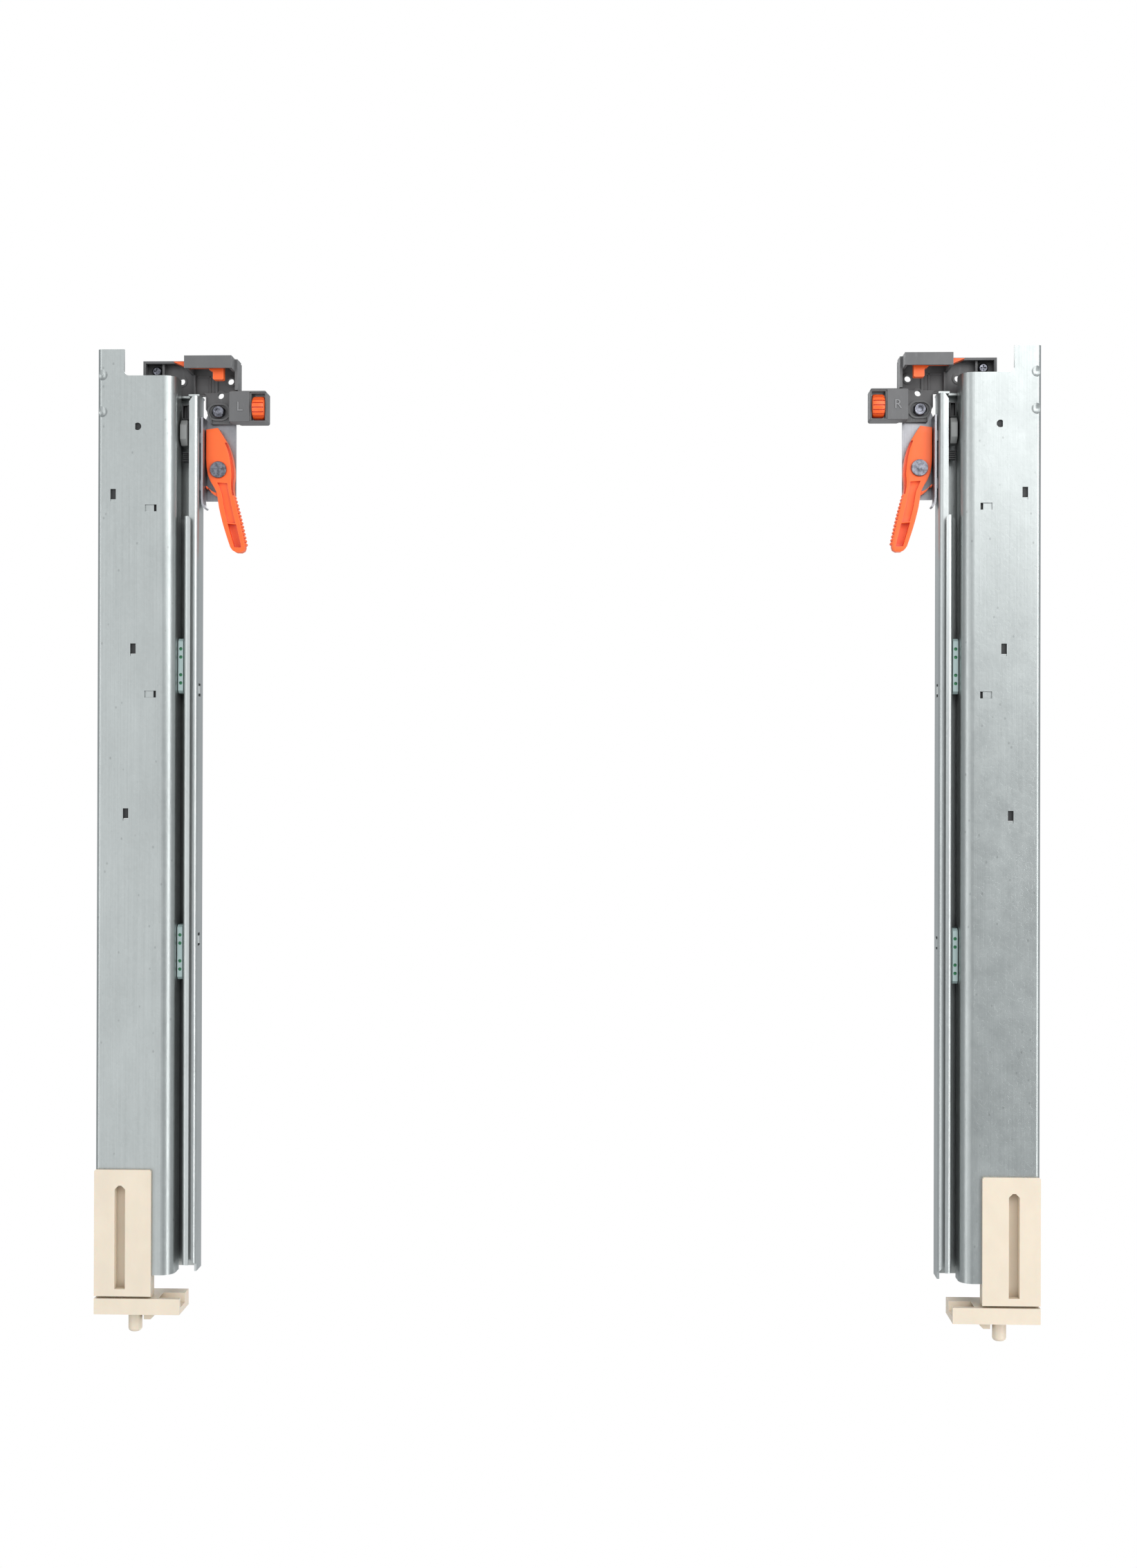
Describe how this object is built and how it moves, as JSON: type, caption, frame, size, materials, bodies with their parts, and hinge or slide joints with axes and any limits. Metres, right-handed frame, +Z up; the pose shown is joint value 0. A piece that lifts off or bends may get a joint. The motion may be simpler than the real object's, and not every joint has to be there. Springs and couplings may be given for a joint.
{
  "type": "under-mount drawer slide pair",
  "caption": "Left and right concealed full-extension soft-closing drawer slides with rear sockets, roller cages and front locking devices.",
  "frame": {"origin": "centre of the pair's bounding box at its underside, which is the underside of the rear brackets", "axes": "+Z up as installed, -Y to the front where the drawer opens, +X from the left slide to the right one"},
  "size_m": [0.546, 0.574, 0.0457],
  "materials": {
    "galvanised_sheet": "galvanised, faintly mottled, satin",
    "runner_sheet": "bright zinc plated, satin",
    "turned_steel": "bright turned steel",
    "dark_zinc": "dark zinc plated rivet heads",
    "spring_wire": "drawn spring wire",
    "dark_grey_plastic": "moulded, fine grain",
    "grey_plastic": "moulded, satin",
    "black_plastic": "moulded, satin",
    "orange_plastic": "moulded, soft sheen",
    "green_plastic": "moulded rollers",
    "cage_plastic": "moulded, slightly milky",
    "cream_plastic": "moulded, satin"
  },
  "bodies": {
    "root": {"left_cabinet_profile": "galvanised_sheet", "left_rear_bracket": "cream_plastic", "left_damper_housing": "black_plastic", "left_damper_cylinder": "turned_steel", "left_closing_spring": "spring_wire", "right_cabinet_profile": "galvanised_sheet", "right_rear_bracket": "cream_plastic", "right_damper_housing": "black_plastic", "right_damper_cylinder": "turned_steel", "right_closing_spring": "spring_wire"},
    "left_catch": {"left_closing_catch": "grey_plastic", "left_piston_rod": "turned_steel"},
    "left_lower_front_cage": {"left_lower_front_cage": "cage_plastic", "left_lower_front_rollers": "green_plastic"},
    "left_lower_rear_cage": {"left_lower_rear_cage": "cage_plastic", "left_lower_rear_rollers": "green_plastic"},
    "left_middle": {"left_middle_profile": "runner_sheet", "left_middle_buffer": "black_plastic"},
    "left_upper_front_cage": {"left_upper_front_cage": "cage_plastic", "left_upper_front_rollers": "green_plastic"},
    "left_upper_rear_cage": {"left_upper_rear_cage": "cage_plastic", "left_upper_rear_rollers": "green_plastic"},
    "left_drawer_runner": {"left_drawer_profile": "runner_sheet", "left_front_buffer": "grey_plastic", "left_rear_hook": "runner_sheet", "left_catch_pin": "turned_steel", "left_hook_plate": "runner_sheet", "left_lock_rivets": "dark_zinc"},
    "left_lock_base": {"left_lock_base": "dark_grey_plastic", "left_adjuster_housing": "dark_grey_plastic", "left_lock_screw": "turned_steel"},
    "left_thumbwheel": {"left_thumbwheel": "orange_plastic"},
    "left_height_wedge": {"left_height_wedge": "orange_plastic"},
    "left_release_lever": {"left_release_lever": "orange_plastic"},
    "right_catch": {"right_closing_catch": "grey_plastic", "right_piston_rod": "turned_steel"},
    "right_lower_front_cage": {"right_lower_front_cage": "cage_plastic", "right_lower_front_rollers": "green_plastic"},
    "right_lower_rear_cage": {"right_lower_rear_cage": "cage_plastic", "right_lower_rear_rollers": "green_plastic"},
    "right_middle": {"right_middle_profile": "runner_sheet", "right_middle_buffer": "black_plastic"},
    "right_upper_front_cage": {"right_upper_front_cage": "cage_plastic", "right_upper_front_rollers": "green_plastic"},
    "right_upper_rear_cage": {"right_upper_rear_cage": "cage_plastic", "right_upper_rear_rollers": "green_plastic"},
    "right_drawer_runner": {"right_drawer_profile": "runner_sheet", "right_front_buffer": "grey_plastic", "right_rear_hook": "runner_sheet", "right_catch_pin": "turned_steel", "right_hook_plate": "runner_sheet", "right_lock_rivets": "dark_zinc"},
    "right_lock_base": {"right_lock_base": "dark_grey_plastic", "right_adjuster_housing": "dark_grey_plastic", "right_lock_screw": "turned_steel"},
    "right_thumbwheel": {"right_thumbwheel": "orange_plastic"},
    "right_height_wedge": {"right_height_wedge": "orange_plastic"},
    "right_release_lever": {"right_release_lever": "orange_plastic"}
  },
  "joints": [
    {"name": "left_extension", "type": "slide", "parent": "root", "child": "left_middle", "axis": [0, -1, 0], "range_m": [0, 0.266]},
    {"name": "left_drawer_extension", "type": "slide", "parent": "left_middle", "child": "left_drawer_runner", "axis": [0, -1, 0], "range_m": [0, 0.266]},
    {"name": "left_lower_front_cage_travel", "type": "slide", "parent": "root", "child": "left_lower_front_cage", "axis": [0, -1, 0], "range_m": [0, 0.133]},
    {"name": "left_lower_rear_cage_travel", "type": "slide", "parent": "root", "child": "left_lower_rear_cage", "axis": [0, -1, 0], "range_m": [0, 0.133]},
    {"name": "left_upper_front_cage_travel", "type": "slide", "parent": "left_middle", "child": "left_upper_front_cage", "axis": [0, -1, 0], "range_m": [0, 0.133]},
    {"name": "left_upper_rear_cage_travel", "type": "slide", "parent": "left_middle", "child": "left_upper_rear_cage", "axis": [0, -1, 0], "range_m": [0, 0.133]},
    {"name": "left_catch_travel", "type": "slide", "parent": "root", "child": "left_catch", "axis": [0, -1, 0], "range_m": [0, 0.04], "stiffness_N_per_m": 60, "deforming": ["left_closing_spring"]},
    {"name": "left_side_adjustment", "type": "slide", "parent": "left_drawer_runner", "child": "left_lock_base", "axis": [1, 0, 0], "range_m": [-0.0015, 0.0015]},
    {"name": "left_thumbwheel_turn", "type": "hinge", "parent": "left_lock_base", "child": "left_thumbwheel", "pos_m": [-0.1817, -0.2556, 0.0204], "axis": [1, 0, 0], "range_deg": [-340, 340]},
    {"name": "left_height_adjustment", "type": "slide", "parent": "left_lock_base", "child": "left_height_wedge", "axis": [-1, 0, 0], "range_m": [-0.003, 0.008]},
    {"name": "left_lever_release", "type": "hinge", "parent": "left_drawer_runner", "child": "left_release_lever", "pos_m": [-0.2062, -0.2198, 0.024], "axis": [0, 0, 1], "range_deg": [0, 9], "stiffness_Nm_per_rad": 0.05},
    {"name": "right_extension", "type": "slide", "parent": "root", "child": "right_middle", "axis": [0, -1, 0], "range_m": [0, 0.266]},
    {"name": "right_drawer_extension", "type": "slide", "parent": "right_middle", "child": "right_drawer_runner", "axis": [0, -1, 0], "range_m": [0, 0.266]},
    {"name": "right_lower_front_cage_travel", "type": "slide", "parent": "root", "child": "right_lower_front_cage", "axis": [0, -1, 0], "range_m": [0, 0.133]},
    {"name": "right_lower_rear_cage_travel", "type": "slide", "parent": "root", "child": "right_lower_rear_cage", "axis": [0, -1, 0], "range_m": [0, 0.133]},
    {"name": "right_upper_front_cage_travel", "type": "slide", "parent": "right_middle", "child": "right_upper_front_cage", "axis": [0, -1, 0], "range_m": [0, 0.133]},
    {"name": "right_upper_rear_cage_travel", "type": "slide", "parent": "right_middle", "child": "right_upper_rear_cage", "axis": [0, -1, 0], "range_m": [0, 0.133]},
    {"name": "right_catch_travel", "type": "slide", "parent": "root", "child": "right_catch", "axis": [0, -1, 0], "range_m": [0, 0.04], "stiffness_N_per_m": 60, "deforming": ["right_closing_spring"]},
    {"name": "right_side_adjustment", "type": "slide", "parent": "right_drawer_runner", "child": "right_lock_base", "axis": [-1, 0, 0], "range_m": [-0.0015, 0.0015]},
    {"name": "right_thumbwheel_turn", "type": "hinge", "parent": "right_lock_base", "child": "right_thumbwheel", "pos_m": [0.1817, -0.2556, 0.0204], "axis": [-1, 0, 0], "range_deg": [-340, 340]},
    {"name": "right_height_adjustment", "type": "slide", "parent": "right_lock_base", "child": "right_height_wedge", "axis": [1, 0, 0], "range_m": [-0.003, 0.008]},
    {"name": "right_lever_release", "type": "hinge", "parent": "right_drawer_runner", "child": "right_release_lever", "pos_m": [0.2062, -0.2198, 0.024], "axis": [0, 0, -1], "range_deg": [0, 9], "stiffness_Nm_per_rad": 0.05}
  ],
  "couplings": [
    {"joint": "left_drawer_extension", "follows": "left_extension", "ratio": 1},
    {"joint": "left_lower_front_cage_travel", "follows": "left_extension", "ratio": 0.5},
    {"joint": "left_lower_rear_cage_travel", "follows": "left_extension", "ratio": 0.5},
    {"joint": "left_upper_front_cage_travel", "follows": "left_extension", "ratio": 0.5},
    {"joint": "left_upper_rear_cage_travel", "follows": "left_extension", "ratio": 0.5},
    {"joint": "left_thumbwheel_turn", "follows": "left_side_adjustment", "rad_per_m": 3927},
    {"joint": "right_drawer_extension", "follows": "left_extension", "ratio": 1},
    {"joint": "right_extension", "follows": "left_extension", "ratio": 1},
    {"joint": "right_lower_front_cage_travel", "follows": "left_extension", "ratio": 0.5},
    {"joint": "right_lower_rear_cage_travel", "follows": "left_extension", "ratio": 0.5},
    {"joint": "right_upper_front_cage_travel", "follows": "left_extension", "ratio": 0.5},
    {"joint": "right_upper_rear_cage_travel", "follows": "left_extension", "ratio": 0.5},
    {"joint": "right_thumbwheel_turn", "follows": "right_side_adjustment", "rad_per_m": 3927}
  ]
}
